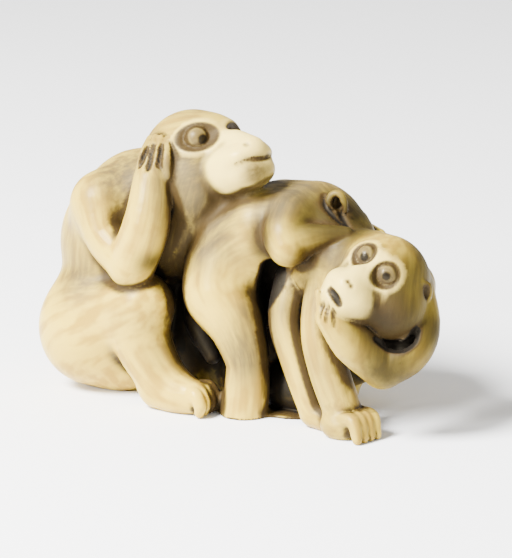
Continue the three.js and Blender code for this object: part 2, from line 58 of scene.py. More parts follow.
# ---- the skeletons. The first two give the near side, mirrored in y = plane for the far side ----
HEARS = {
    "plane": -0.6,
    "arm_plane": -0.9,
    "head": (-4.9, -1.2, 26.3),
    "loin": (-14.2, -0.4, 8.2),
    "chest": (-14.6, -0.4, 16.3),
    "shoulders": (-11.9, -0.5, 20.8),
    "neck": ((-12, -0.5, 21), (-7.5, -0.8, 22.8), (-4, -1, 23.5)),
    "throat": ((-8, -0.6, 18), (-3.8, -1, 20.5), (-1.2, -1.2, 22.8)),
    "hip": (-16.4, -5.0, 7.0),
    "seat": (-13, -3.6, 3.6),
    "thigh": ((-14.8, -5.4, 7.8), (-7.8, -7.4, 11.5)),
    "shin": ((-8.5, -7.4, 10.6), (-8, -7.8, 7.5), (-5.9, -8.1, 4.2), (-3.5, -8.3, 2.4)),
    "foot": ((-5.5, -8.2, 2.2), (-2.6, -8.6, 1.9), (-0.9, -8.8, 1.9)),
    "toe": ((-1.6, -9.4, 2.3), (-0.1, -10, 2.5), (0.7, -10.3, 1.5), (0.6, -10.3, 0.6)),
    "shoulder": (-14.5, -5.6, 21.4),
    "upper_arm": ((-14.2, -6, 21.5), (-12.6, -7.4, 18.4), (-8.9, -8.6, 16)),
    "forearm": ((-8.7, -8.6, 16), (-6.5, -9.2, 20.8), (-6.7, -7.6, 25.2)),
    "hand": (-6.7, -6.9, 26.4),
    "finger": ((-8.0, -7.6, 26.2), (-7.8, -7.3, 28.2), (-8.0, -5.6, 29.6)),
    "finger_gaps": (((-7.5, -7.1, 28.9), (-7.7, -8.3, 27)), ((-6.9, -6.9, 29.3), (-6.5, -8.7, 26.9)),
                    ((-6.0, -6.7, 29.4), (-5.6, -8, 27.3))),
    "mouth": ((10.1, -2.9, -1.2), (10.8, -1.8, -0.8), (11.3, -0.8, -0.9), (11.5, 0, -1.1)),
}
SEES = {
    "plane": -0.6,
    "back": ((0.1, -0.6, 13.1), (1.6, -0.8, 17.1), (5.5, -0.6, 19.5), (9.9, -0.8, 20.7)),
    "blade": ((1.3, -2.9, 18.8), (4.8, -3.5, 20.5)),
    "head": (11.4, -1.2, 20.4),
    "face": (13.7, -1.2, 19.6),
    "ear": (13.7, -2.6, 23.9),
    "ear_rim": ((13.8, -3.7, 23.2), (13.1, -3.9, 24.2), (13.4, -3.6, 25.1), (14.2, -3.4, 25.2),
                (14.7, -3.4, 24.4), (14.9, -3.4, 23.4)),
    "ear_lines": (((11.8, -2.6, 24.4), (12.6, -3.8, 23.9), (13.6, -4, 22.9), (15.8, -4.2, 21.7)),
                  ((14.1, -3.6, 24.1), (14.4, -3.6, 23.2), (15, -3.8, 22.5), (15.9, -4.2, 21.7))),
    "leg": ((0.3, -3.6, 15.5), (0.4, -4.6, 13), (2.9, -5.8, 9.8), (4.5, -6.3, 5.6), (4.1, -6.5, -0.2)),
    "base": (7.5, -4.5, -0.1),
    "shoulder": (8.6, -4.2, 21.9),
    "upper_arm": ((9.2, -5, 22.1), (9.4, -6.8, 20.9), (10.1, -7.4, 19.9)),
    "forearm": ((10.1, -7.2, 20.2), (12.7, -6.2, 20.9), (15.6, -4.6, 21.2)),
    "far_drop": 1.9,
    "far_ear_drop": 1.6,
    "hollow": ((7.2, -5.6, 16.4), (6.5, -4.4, 13.6), (7.2, -3.4, 9.6)),
    "tail": ((-4.2, -1.5, 10.9), (-3.7, -2.5, 8.3), (-1.7, -3, 5)),
}
SPEAKS = {
    "head": (20, -5, 16.1),
    "rump": (12.2, 1.8, 9.6),
    "chest": (15.6, 0.6, 13.4),
    "nape": ((10.4, -1.4, 15.4), (13.6, -3, 17.4), (17.9, -3.4, 17.2)),
    "shoulder": ((18.5, 0, 14.5), (21.5, -1.5, 15.5), (23.1, -3.6, 15.3)),
    "upper_arm": ((22.9, -3.6, 15.3), (24.7, -5.2, 12.1), (24.5, -7.4, 9.8), (22.1, -8.8, 8.3)),
    "forearm": ((22.1, -8.8, 8.3), (19.6, -11, 11.2), (17.6, -12.2, 14.1)),
    "finger": ((16.7, -12.8, 14.6), (16.3, -12.6, 16.7)),
    "finger_lines": (((17.1, -13.2, 16.1), (17.1, -13.8, 14.2)), ((17.8, -13.4, 15.8), (17.8, -13.8, 13.9)),
                     ((18.4, -13.5, 15.4), (18.7, -13.6, 13.5))),
    "muffled": ((17.7, -12.8, 17.2), (18.5, -13.1, 16.7), (19, -13.1, 15.8)),
    "nostrils": ((19.9, -12.9, 18.4), (20.3, -12.9, 17.9)),
    "brow": (21.5, -7.3, 21.2),
    "cheek": (22.4, -6.8, 14.2),
    "ear": ((25.2, -5.7, 17.3), (25.5, -4.9, 16.7), (25.5, -4.7, 15.8), (25.4, -5.4, 14.8)),
    "under_cheek": ((22.2, -10.5, 11.7), (23.4, -9.7, 11), (24.7, -9.4, 11.1), (25.4, -8.6, 11.7),
                    (25.5, -7.7, 12.5)),
    "planted_arm": ((13.6, -4.6, 15.6), (13.6, -6.6, 10.9), (15, -7.5, 6.8), (17.1, -8.4, 2.8)),
    "palm": (17.5, -9.3, 1.3),
    "planted_finger": ((17.7, -9.9, 2.1), (19.5, -10.6, 2.2), (20.3, -11.2, 0.5)),
    "right_leg": ((8.6, -2.5, 14.5), (8.5, -4.6, 10.8), (10.5, -5.8, 6.5), (13.1, -7.2, 1.7)),
    "right_foot": ((13.1, -7.2, 1.5), (16, -8.2, 0.9)),
    "left_thigh": ((12.5, 4.6, 8), (13.4, 5.4, 8.6)),
    "left_shin": ((13.4, 5.4, 8.6), (12.2, 5, 4.6), (10.8, 4.6, 1.2)),
    "left_foot": ((10.8, 4.4, 0.6), (11.8, 1.8, 0.4)),
}
WEBS = (((-5, 2.5, 6), (5, 5.5, 9)), ((7.5, 3, 6), (6.5, 4.6, 9.5)), ((0.5, 2.2, 5), (4, 4, 8)),
        ((8.6, -0.6, 2.2), (5, 4, 3.6)), ((14.2, 2.8, 18.8), (1.3, 1.3, 1.3)))
CORD = ((-25, 5, 7), (-16.5, 3, 8.5), (-15, 2.5, 12), (-16, 3, 15.5), (-24, 5, 18))


# ---- the clay ----
class Clay:
    """A distance field on a grid, worked in boxes round each shape."""

    def __init__(self):
        self.low = np.array(LOW, float)
        self.axes = [np.arange(l, h + CELL, CELL, np.float32) for l, h in zip(LOW, HIGH)]
        self.value = np.full([len(a) for a in self.axes], FAR, np.float32)
        self.ink_and_shade = np.zeros_like(self.value)

    def window(self, low, high):
        """The part of the grid that a box covers, and the coordinates there."""
        cut = []
        for i in range(3):
            a = math.floor((low[i] - self.low[i]) / CELL)
            b = math.ceil((high[i] - self.low[i]) / CELL) + 1
            cut.append(slice(max(a, 0), min(max(b, 0), len(self.axes[i]))))
        grid = np.meshgrid(*[a[c] for a, c in zip(self.axes, cut)], indexing="ij", sparse=True)
        return tuple(cut), grid

    def add(self, shape, blend):
        """Melt a shape into the clay."""
        low, high, distance = shape
        cut, grid = self.window(low - MARGIN - blend, high + MARGIN + blend)
        self.value[cut] = melt(self.value[cut], distance(*grid), blend)

    def cut(self, shape, blend):
        """Take a shape out of the clay, with its edges softened."""
        low, high, distance = shape
        cut, grid = self.window(low - MARGIN - blend, high + MARGIN + blend)
        self.value[cut] = -melt(-self.value[cut], distance(*grid), blend)

    def emboss(self, at, radii, amount, turn=None):
        """Raise the skin round a place, or press it in with a negative amount."""
        reach = 2.2 * max(radii)
        cut, grid = self.window(np.subtract(at, reach), np.add(at, reach))
        self.value[cut] -= amount * np.exp(-stretch(at, radii, turn, grid))

    def rim(self, at, radii, width, amount, turn):
        """Raise a ring of the given radii round a place."""
        reach = 1.7 * max(radii)
        cut, grid = self.window(np.subtract(at, reach), np.add(at, reach))
        off = (np.sqrt(stretch(at, radii, turn, grid)) - 1) / width
        self.value[cut] -= amount * np.exp(-off ** 2)

    def rub(self, shape, depth, soft=0.5):
        """Stain the skin within a shape and a little way round it; in deep pits, holes and slots this is
        also painted shade.
        """
        low, high, distance = shape
        cut, grid = self.window(low - soft, high + soft)
        self.ink_and_shade[cut] = np.maximum(self.ink_and_shade[cut], depth * np.clip(1 - distance(*grid) / soft, 0, 1))

    def read(self, places, values=None):
        """The field, or other values on its grid, at an array of places."""
        values = self.value if values is None else values
        g = (np.asarray(places, float) - self.low) / CELL
        i = np.clip(np.floor(g).astype(int), 0, np.array(self.value.shape) - 2)
        t = np.clip(g - i, 0, 1)
        total = 0
        for corner in np.ndindex(2, 2, 2):
            share = np.prod(np.where(corner, t, 1 - t), -1)
            total = total + share * values[tuple((i + corner).T)]
        return total

    def outward(self, places, reach=CELL):
        """The direction out of the skin at an array of places."""
        steps = reach * np.eye(3)
        slope = np.stack([self.read(places + step) - self.read(places - step) for step in steps], -1)
        return slope / np.maximum(np.linalg.norm(slope, axis=-1, keepdims=True), 1e-6)

    def on_skin(self, places, rounds=4):
        """The nearest places on the skin."""
        p = np.atleast_2d(np.array(places, float))
        for _ in range(rounds):
            p = p - np.clip(self.read(p), -2, 2)[:, None] * self.outward(p)
        return p if np.ndim(places) > 1 else p[0]

    def score(self, places, width, depth, ink_and_shade=0.6):
        """A line cut into the skin, tapering at both ends, with stain and painted shade where it went deep.
        """
        path = self.on_skin(spline(self.on_skin(places), 6), 2)
        n = len(path)
        wide = width * (0.4 + 0.6 * np.sin(np.pi * (np.arange(n) + 0.5) / n) ** 0.5)
        cut, grid = self.window(path.min(0) - 3 * width, path.max(0) + 3 * width)
        deepest = 0
        for a, b, w in zip(path[:-1], path[1:], wide):
            bone = b - a
            t = sum((g - s) * c for g, s, c in zip(grid, a, bone)) / max(1e-9, bone @ bone)
            t = np.clip(t, 0, 1)
            off = sum((g - s - t * c) ** 2 for g, s, c in zip(grid, a, bone)) / w ** 2
            deepest = np.maximum(deepest, w / width * np.exp(-off))
        on_line = deepest > 0.05
        under = np.clip(-self.value[cut] / FULL_INK, 0, 1) * on_line
        self.ink_and_shade[cut] = np.maximum(self.ink_and_shade[cut], ink_and_shade * under)
        self.value[cut] += depth * deepest


def melt(a, b, blend):
    """The lesser of two distances, rounded where they are about alike."""
    h = np.clip(0.5 + 0.5 * (b - a) / blend, 0, 1)
    return (b + (a - b) * h - blend * h * (1 - h)).astype(np.float32)


def turned(yaw=0, pitch=0, roll=0):
    """Axes turned by yaw about z, pitch with the nose up and roll about the nose, in degrees."""
    angles = [math.radians(a) for a in (yaw, -pitch, roll)]
    z, y, x = [Matrix.Rotation(a, 3, n) for a, n in zip(angles, "ZYX")]
    return np.array(z @ y @ x)


def stretch(at, radii, turn, grid):
    """The square of a place's distance from a ball's centre, in its radii."""
    m = np.eye(3) if turn is None else turn
    x, y, z = [g - a for g, a in zip(grid, at)]
    return sum(((m[0, i] * x + m[1, i] * y + m[2, i] * z) / radii[i]) ** 2 for i in range(3))


def ball(at, radii, turn=None):
    """A shape: the low and high corners of its box, and its distance as a function of x, y, z."""
    at, radii = np.array(at, float), np.array(radii, float)
    m = np.eye(3) if turn is None else turn
    reach = np.sqrt((m * radii) ** 2 @ np.ones(3))

    def distance(x, y, z):
        grid = (x, y, z)
        near = np.sqrt(stretch(at, radii, m, grid))
        steep = np.sqrt(stretch(at, radii ** 2, m, grid))
        return near * (near - 1) / np.maximum(steep, 1e-6)

    return at - reach, at + reach, distance


def spline(knots, steps):
    """A smooth run through the knots."""
    p = np.array(knots, float)
    q = np.vstack([2 * p[0] - p[1], p, 2 * p[-1] - p[-2]])
    run = []
    for a, b, c, d in zip(q[:-3], q[1:-2], q[2:-1], q[3:]):
        for t in np.arange(steps) / steps:
            run.append(0.5 * (2 * b + (c - a) * t + (2 * a - 5 * b + 4 * c - d) * t ** 2
                              + (3 * b - a - 3 * c + d) * t ** 3))
    return np.array(run + [p[-1]])


BEND_STEPS = 5


def limb(places, radii):
    """A tapering limb along a smooth run through the places."""
    steps = BEND_STEPS if len(places) > 2 else 1
    run = spline(places, steps)
    radii = np.interp(np.arange(len(run)) / steps, np.arange(len(radii)), radii)

    def distance(x, y, z):
        best = None
        for a, b, r, s in zip(run[:-1], run[1:], radii[:-1], radii[1:]):
            bone = b - a
            n = bone @ bone
            px, py, pz = x - a[0], y - a[1], z - a[2]
            t = np.clip((px * bone[0] + py * bone[1] + pz * bone[2]) / n, 0, 1)
            off = (px - t * bone[0]) ** 2 + (py - t * bone[1]) ** 2 + (pz - t * bone[2]) ** 2
            d = np.sqrt(off) - r - t * (s - r)
            best = d if best is None else np.minimum(best, d)
        return best

    return (run - radii[:, None]).min(0), (run + radii[:, None]).max(0), distance


def spared(shape, kept):
    """What of a shape lies outside all of the kept shapes."""
    low, high, distance = shape

    def outside(x, y, z):
        return np.maximum(distance(x, y, z), -np.minimum.reduce([k[2](x, y, z) for k in kept]))

    return low, high, outside


# ---- what the monkeys have in common ----
def mirror(side, plane):
    """The near side as it is given, the far side mirrored in the plane."""
    def place(p):
        p = np.array(p, float)
        if side > 0:
            p[..., 1] = 2 * plane - p[..., 1]
        return p
    return place


class HeadFrame:
    """A head's own frame: x to the nose, y to its left, z up."""

    def __init__(self, at, axes, size):
        self.at, self.axes, self.size = np.array(at, float), axes, np.array(size, float)

    def place(self, p):
        return self.at + (np.array(p, float) * self.size) @ self.axes.T

    def lump(self, p, radii, tilt=None):
        axes = self.axes if tilt is None else self.axes @ tilt
        return ball(self.place(p), np.array(radii) * self.size, axes)


def head(clay, own, muzzle):
    """Skull, cheeks, brow, snout and lips, with the snout longer by muzzle."""
    clay.add(own.lump((0, 0, 0), HEAD), 0.8)
    for side in SIDES:
        clay.add(own.lump((1.6, 3 * side, -2.4), (3.8, 2.6, 3.6)), 1.4)
    clay.add(own.lump((3.2, 0, 1.6), (3.4, 4.2, 3.4)), 1)
    clay.add(own.lump((6.2 + 0.5 * muzzle, 0, -1.6), (3.5, 3.6, 3.1), turned(0, -14)), 1)
    clay.add(own.lump((7.6 + muzzle, 0, -0.5), (2.9, 3.1, 1.9)), 0.7)
    clay.add(own.lump((8.1 + muzzle, 0, -2.1), (2.7, 2.7, 2)), 0.45)
    bridge = ((5, 0, 1.5), (7.4 + 0.5 * muzzle, 0, 1.1), (9.1 + muzzle, 0, 0.2))
    clay.add(limb([own.place(p) for p in bridge], (1.4, 1.45, 1.35)), 0.8)


def eyes(clay, own, places, radius, width, yaw, sunk):
    """Lids as a rim, a socket pressed in, and an eyeball in it, with what eye_marks needs of each."""
    found = []
    for side, at, deep in zip(SIDES, places, sunk):
        axes = own.axes @ turned(yaw * side, 6)
        eye = clay.on_skin(own.place(at))
        middle = eye - (0.9 + deep) * axes[:, 0]
        clay.rim(eye, (2.6, 1.25 * radius * width, 1.3 * radius), 0.3, 0.2, axes)
        clay.emboss(eye, (2.6, 0.85 * radius * width, 0.9 * radius), -1.2 - 0.5 * deep, axes)
        clay.add(ball(middle, (radius, 1.02 * radius, 0.96 * radius), axes), 0.06)
        found.append((middle, axes, radius, width, deep))
    return found


# ---- the three ----
def hears_no_evil(clay):
    body = HEARS
    clay.add(ball(body["loin"], (7.6, 8.4, 8.8)), 0.5)
    clay.add(ball(body["chest"], (6.9, 7.2, 8)), 2)
    clay.add(ball(body["shoulders"], (6, 6.6, 6)), 2)
    clay.add(limb(body["neck"], (5.6, 4.9, 5)), 1.5)
    clay.add(limb(body["throat"], (5.4, 4.8, 4.2)), 1.5)
    own = HeadFrame(body["head"], turned(-21, 17), (1, 1, 1))
    head(clay, own, 1.2)
    for side in SIDES:
        leg = mirror(side, body["plane"])
        clay.add(ball(leg(body["hip"]), (5.8, 5.2, 6.4)), 2)
        clay.add(limb(leg(body["thigh"]), (5.2, 3.2)), 1.2)
        clay.add(ball(leg(body["seat"]), (4.4, 3.4, 3.7)), 1.2)
        clay.add(limb(leg(body["shin"]), (3.6, 3.3, 2.8, 2.2)), 1.2)
        clay.add(limb(leg(body["foot"]), (2.4, 2.2, 1.9)), 1)
        for i in range(4):
            toe = np.add(body["toe"], (0.1 * i, 0.95 * i, 0.05 * i))
            clay.add(limb(leg(toe), (0.8, 0.85, 0.75, 0.55)), 0.1)
        arm = mirror(side, body["arm_plane"])
        clay.add(ball(arm(body["shoulder"]), (3.4, 3, 3.8)), 1.8)
        clay.add(limb(arm(body["upper_arm"]), (3, 2.4, 2.5)), 0.6)
        clay.add(limb(arm(body["forearm"]), (2.7, 2.6, 2.1)), 0.3)
        clay.add(ball(arm(body["hand"]), (2.1, 1.4, 2.4)), 0.9)
        root, knuckle, tip = (np.array(p) for p in body["finger"])
        for i in range(4):
            longer = 0.2 * (i in (1, 2))
            bones = (root + (1.07 * i, 0, 0), knuckle + (0.95 * i, 0, 0), tip + (0.72 * i, 0, longer))
            clay.add(limb(arm(bones), (0.62, 0.56, 0.42)), 0.1)
        for gap in body["finger_gaps"]:
            clay.score(arm(gap), 0.2, 0.9, 1)
    found = eyes(clay, own, ((5.2, -3.1, 2.7), (5.4, 1.9, 1.9)), 1.35, 1.5, 36, (0.3, 0.8))
    corner_to_middle = [np.array(p) for p in body["mouth"]]
    lips = corner_to_middle + [p * (1, -1, 1) for p in corner_to_middle[-2::-1]]
    clay.score([own.place(p) for p in lips], 0.15, 0.35, 0.45)
    for side in SIDES:
        clay.emboss(clay.on_skin(own.place((10.5, 0.7 * side, 0.3))), (0.3, 0.25, 0.25), -0.3)
    return own, found


def sees_no_evil(clay):
    body = SEES
    clay.add(limb(body["back"], (6, 6.1, 5.7, 5)), 0.35)
    for side in SIDES:
        clay.add(limb(mirror(side, body["plane"])(body["blade"]), (4.2, 4.2)), 1)
    clay.add(ball(body["base"], (4.6, 2.2, 0.6)), 0.2)
    clay.add(ball(body["head"], (4.4, 4.8, 4.4)), 0.8)
    clay.add(ball(body["face"], (3.4, 3.6, 3.6)), 0.8)
    for side in SIDES:
        leg = mirror(side, body["plane"])
        drop = 0 if side < 0 else body["far_drop"]
        ear_drop = drop + (0 if side < 0 else body["far_ear_drop"])
        low_ear = (0, 0, ear_drop)
        clay.add(ball(leg(np.subtract(body["ear"], low_ear)), (1.1, 0.6, 1.3)), 0.3)
        clay.add(limb(leg(np.subtract(body["ear_rim"], low_ear)), (0.3, 0.42, 0.46, 0.46, 0.42, 0.3)), 0.08)
        ear_hole = ball(leg(np.subtract(body["ear"], (-0.2, 0.8, -0.4 + ear_drop))), (0.45, 0.9, 0.8))
        clay.cut(ear_hole, 0.1)
        clay.rub(ear_hole, 0.8, 0.25)
        clay.add(limb(leg(body["leg"]), (4.5, 4.3, 3.1, 2.35, 2.7)), 0.8)
        low = (0, 0, drop)
        clay.add(ball(leg(np.subtract(body["shoulder"], low)), (3.4, 2.6, 3)), 1.2)
        clay.add(limb(leg(np.subtract(body["upper_arm"], low)), (2.7, 2.5, 2.3)), 0.6)
        clay.add(limb(leg(np.subtract(body["forearm"], low)), (2.2, 1.45, 0.9)), 0.2)
        for line in body["ear_lines"]:
            clay.score(leg(np.subtract(line, low_ear)), 0.26, 0.7, 0.9)
    clay.add(limb(body["tail"], (1.6, 1.4, 0.9)), 0.4)
    # the pits under the second monkey are rubbed black: painted shade in the gap
    for depth in range(3):
        pit = limb(np.add(body["hollow"], (-0.5 * depth, 1.4 * depth, 0)), (1.4, 1.7, 1.3))
        clay.cut(pit, 0.4)
        clay.rub(pit, 1, 0.3)


def speaks_no_evil(clay):
    body = SPEAKS
    clay.add(ball(body["rump"], (6, 6.2, 7.4)), 0.3)
    clay.add(ball(body["chest"], (5.2, 5.2, 5.4)), 1.5)
    clay.add(limb(body["nape"], (3.4, 4, 4.4)), 0.3)
    own = HeadFrame(body["head"], turned(-96.3, 10.8, -31.4), (0.78, 0.95, 0.95))
    head(clay, own, 0)
    cheek = ball(body["cheek"], (3.4, 3.4, 3.4))
    clay.add(cheek, 1.2)
    skull = own.lump((0, 0, 0), HEAD)
    jowl = own.lump((1.6, 3, -2.4), (3.8, 2.6, 3.6))
    found = eyes(clay, own, ((5, -1.65, 2.8), (5, 1.65, 2.8)), 1.22, 1, 18, (0.1, 0.1))
    clay.add(own.lump((0.2, 4.7, -0.4), (1.3, 0.9, 1.5)), 0.3)
    clay.add(limb(body["shoulder"], (4, 3, 2.2)), 0.6)
    clay.add(limb(body["upper_arm"], (2.6, 2.2, 2.2, 2.4)), 0.3)
    clay.add(limb(body["forearm"], (2.4, 2.3, 1.7)), 0.12)
    root, tip = (np.array(p) for p in body["finger"])
    for i in range(4):
        bone = (root + (0.55 * i, 0.2 * i, 0.2 * i), tip + (0.45 * i, 0.3 * i, 0.15 * i))
        clay.add(limb(bone, (0.5, 0.4)), 0.1)
    clay.add(limb(body["ear"], (0.3, 0.42, 0.42, 0.3)), 0.1)
    ear_hole = ball(np.mean(body["ear"], 0) + (0.2, -0.4, 0), (0.4, 0.4, 0.7))
    clay.cut(ear_hole, 0.1)
    clay.rub(ear_hole, 0.8, 0.3)
    # the slot under the third's cheek is rubbed black: painted shade in the gap
    for depth in range(2):
        slot = limb(np.add(body["under_cheek"], (-0.6 * depth, 1.1 * depth, -0.3 * depth)),
                    (0.4, 0.65, 0.7, 0.65, 0.4))
        clay.cut(spared(slot, (cheek, skull, jowl)), 0.1)
        clay.rub(slot, 1, 0.4)
    clay.score(body["muffled"], 0.3, 0.9, 0.9)
    for line in body["finger_lines"]:
        clay.score(line, 0.17, 0.45, 0.35)
    for nostril in body["nostrils"]:
        clay.emboss(clay.on_skin(nostril), (0.26, 0.26, 0.26), -0.35)
        clay.rub(ball(clay.on_skin(nostril), (0.15, 0.15, 0.15)), 0.4, 0.25)
    clay.emboss(clay.on_skin(body["brow"]), (0.45, 0.45, 0.3), -0.3)
    clay.add(limb(body["planted_arm"], (2.6, 2.2, 2.2, 2.1)), 0.2)
    clay.add(ball(body["palm"], (2.4, 2, 1.7)), 0.6)
    for i in range(4):
        clay.add(limb(np.add(body["planted_finger"], (0.3 * i, 0.95 * i, 0)), (1, 0.8, 0.55)), 0.08)
    clay.add(limb(body["right_leg"], (2.6, 2.1, 1.9, 1.6)), 0.2)
    clay.add(limb(body["right_foot"], (1.5, 1.2)), 0.3)
    clay.add(limb(body["left_thigh"], (4.2, 3)), 1)
    clay.add(limb(body["left_shin"], (3, 2, 1.7)), 0.4)
    clay.add(limb(body["left_foot"], (1.8, 1.3)), 0.4)
    return own, found


def carve():
    """The clay of the whole group, and the head frame and eyes of the two faces that show."""
    clay = Clay()
    for at, radii in WEBS:
        clay.add(ball(at, radii), 0.5)
    faces = [hears_no_evil(clay)]
    sees_no_evil(clay)
    faces.append(speaks_no_evil(clay))
    clay.cut(limb(CORD, [CORD_RADIUS] * len(CORD)), 0.3)
    below_ground = -clay.axes[2]
    clay.value = np.maximum(clay.value, below_ground)
    return clay, faces


# ---- from the field to a mesh ----
def skin_of(clay):
    """Places and four-sided faces of the skin: one place in each cell that it runs through."""
    d = clay.value
    inside = d < 0
    cells = [n - 1 for n in d.shape]
    total = np.zeros(cells + [3], np.float32)
    count = np.zeros(cells, np.float32)
    for corner in np.ndindex(2, 2, 2):
        for axis in range(3):
            if corner[axis]:
                continue
            other = [c + (i == axis) for i, c in enumerate(corner)]
            a, b = (d[tuple(slice(c, c + n) for c, n in zip(o, cells))] for o in (corner, other))
            cross = (a < 0) != (b < 0)
            t = np.where(cross, a / np.where(cross, a - b, 1), 0)
            for i in range(3):
                total[..., i] += t if i == axis else np.where(cross, corner[i], 0)
            count += cross
    active = count > 0
    number = np.full(active.shape, -1, np.int64)
    number[active] = np.arange(active.sum())
    places = clay.low + CELL * (np.argwhere(active) + total[active] / count[active][:, None])
    faces = []
    for axis in range(3):
        u, v = (axis + 1) % 3, (axis + 2) % 3
        first, second = [slice(None)] * 3, [slice(None)] * 3
        first[axis], second[axis] = slice(0, -1), slice(1, None)
        a, b = inside[tuple(first)], inside[tuple(second)]
        inner = [slice(None)] * 3
        inner[u] = inner[v] = slice(1, -1)
        edge = np.argwhere((a != b)[tuple(inner)])
        edge[:, u] += 1
        edge[:, v] += 1
        out = a[tuple(edge.T)]
        square = []
        for du, dv in ((1, 1), (0, 1), (0, 0), (1, 0)):
            cell = edge.copy()
            cell[:, u] -= du
            cell[:, v] -= dv
            square.append(number[tuple(cell.T)])
        square = np.stack(square, -1)
        square[~out] = square[~out][:, ::-1]
        faces.append(square)
    return places, np.vstack(faces)


def mesh_of(places, faces):
    """The skin as a mesh in metres, in the shared frame."""
    mesh = bpy.data.meshes.new("three_monkeys_carved")
    mesh.from_pydata(((places - (*MIDDLE, 0)) * MM).tolist(), [], faces.tolist())
    mesh.update()
    return mesh


def lighten(piece, most):
    """Take facets away where the form is plainest."""
    triangles = sum(len(p.vertices) - 2 for p in piece.data.polygons)
    if triangles > most:
        less = piece.modifiers.new("less", "DECIMATE")
        less.ratio = most / triangles
        shaped = piece.evaluated_get(bpy.context.evaluated_depsgraph_get())
        mesh = bpy.data.meshes.new_from_object(shaped)
        piece.modifiers.clear()
        piece.data = mesh


# ---- which way the hair lies ----
RUN_APART = 40
MERGE = 0.7
FIRST_ACROSS = (0.3, 1, 0.2)


def combing():
    """Runs that the hair follows, each with its girth, in three sets: runs that meet are in
    different sets, so each set's own lie of the hair changes only where another's shows."""
    a, b, c = HEARS, SEES, SPEAKS
    sets = [[], [], []]
    spine = ((-2, -1.2, 30), (-9, -0.8, 27), (-14.5, -0.5, 20), (-16, -0.4, 13), (-14, -0.4, 2))
    sets[0].append((spine, 7))
    sets[0].append((b["back"] + (b["head"], (16, -1.2, 18)), 5.5))
    sets[0].append((((17.5, 1, 15), c["rump"], (13.5, 2, 1)), 6))
    sets[0].append((c["forearm"] + (c["finger"][1],), 2.2))
    sets[1].append((((-1, -1.2, 32), (-3, -1.2, 26), (-5, -1, 19)), 5.8))
    sets[1].append((c["nape"] + ((20, -3.6, 17),), 4))
    sets[1].append((c["shoulder"] + c["upper_arm"][1:], 2.2))
    sets[1].append((c["right_leg"] + (c["right_foot"][1],), 2))
    sets[2].append((((20, -2, 22), (20.5, -6, 17), (21, -9, 10)), 5))
    sets[2].append((c["planted_arm"] + c["planted_finger"], 2.2))
    for side in SIDES:
        leg, arm = mirror(side, a["plane"]), mirror(side, a["arm_plane"])
        sets[1].append((leg(((-19, -4, 3), a["hip"], a["thigh"][1])), 5))
        sets[2].append((leg(a["shin"] + a["foot"][1:]), 2.6))
        sets[1].append((arm(a["upper_arm"]), 2.8))
        sets[2].append((arm(a["forearm"] + a["finger"][1:]), 2.4))
        leg = mirror(side, b["plane"])
        sets[1].append((leg(b["leg"]), 3.2))
        sets[2].append((leg(b["upper_arm"]), 2.6))
        sets[1].append((leg(b["forearm"]), 2))
    return sets


def combed(places, run, girth):
    """Each place's distance outside a run's girth, and its lie: how far along, and across."""
    path = spline(run, 6)
    along = np.concatenate([[0], np.cumsum(np.linalg.norm(np.diff(path, axis=0), axis=1))])
    across = np.cross(path[1] - path[0], FIRST_ACROSS)
    best = np.full(len(places), np.inf)
    lie = np.zeros((len(places), 3))
    for a, b, start in zip(path[:-1], path[1:], along):
        bone = (b - a) / np.linalg.norm(b - a)
        across = across - (across @ bone) * bone
        across = across / np.linalg.norm(across)
        third = np.cross(bone, across)
        offset = places - a
        t = np.clip(offset @ bone, 0, np.linalg.norm(b - a))
        off = np.linalg.norm(offset - t[:, None] * bone, axis=1)
        near = off < best
        best[near] = off[near]
        lie[near] = np.stack([start + offset @ bone, offset @ across, offset @ third], -1)[near]
    return best - girth, lie


def lie_of_hair(places):
    """Each set's lie of the hair at the places, and the share that each set has there."""
    lies, gaps = [], []
    for runs in combing():
        gap = np.full(len(places), np.inf)
        lie = np.zeros((len(places), 3))
        for n, (run, girth) in enumerate(runs):
            off, own = combed(places, run, girth)
            near = off < gap
            gap[near] = off[near]
            lie[near] = own[near] + RUN_APART * (n + 1)
        lies.append(lie)
        gaps.append(gap)
    gaps = np.stack(gaps, -1)
    share = np.exp(-(gaps - gaps.min(1, keepdims=True)) / MERGE)
    return lies, share / share.sum(1, keepdims=True)


# ---- where stain gathers, and where shade is painted ----
SKY_RAYS = 48
RAY_STOPS = (0.5, 1.1, 2, 3.4, 5.4, 8)
OFF_SKIN = 0.35
LEAST_TILT = 0.05


def smooth(low, high, v):
    t = np.clip((v - low) / (high - low), 0, 1)
    return t * t * (3 - 2 * t)


def openness(clay, places, outward):
    """The share of the sky over each place that nothing of the carving blocks."""
    n = np.arange(SKY_RAYS) + 0.5
    height, turn = 1 - 2 * n / SKY_RAYS, math.pi * (1 + 5 ** 0.5) * n
    level = np.sqrt(1 - height ** 2)
    rays = np.stack([level * np.cos(turn), level * np.sin(turn), height], -1)
    top = np.array(clay.value.shape) - 1
    seen = np.zeros(len(places))
    total = np.zeros(len(places))
    start = places + OFF_SKIN * outward
    for ray in rays:
        tilt = outward @ ray
        facing = np.nonzero(tilt > LEAST_TILT)[0]
        clear = np.ones(len(facing), bool)
        for reach in RAY_STOPS:
            cell = np.rint((start[facing] + reach * ray - clay.low) / CELL).astype(int)
            within = np.all((cell >= 0) & (cell <= top), axis=1)
            cell = np.clip(cell, 0, top)
            clear &= ~(within & (clay.value[tuple(cell.T)] < 0))
        seen[facing] += tilt[facing] * clear
        total[facing] += tilt[facing]
    return seen / np.maximum(total, 1e-6)


def hollow(clay, places, outward, reach):
    """How far a place lies in a crease of about the given reach: 0 on the flat."""
    return np.clip(1 - clay.read(places + reach * outward) / reach, 0, 1)


def bare_skin(places, own, middle, radii):
    """The hairless muzzle and bridge of the nose."""
    q = (places - own.at) @ own.axes / own.size - middle
    return smooth(1.1, 0.9, np.linalg.norm(q / radii, axis=1))


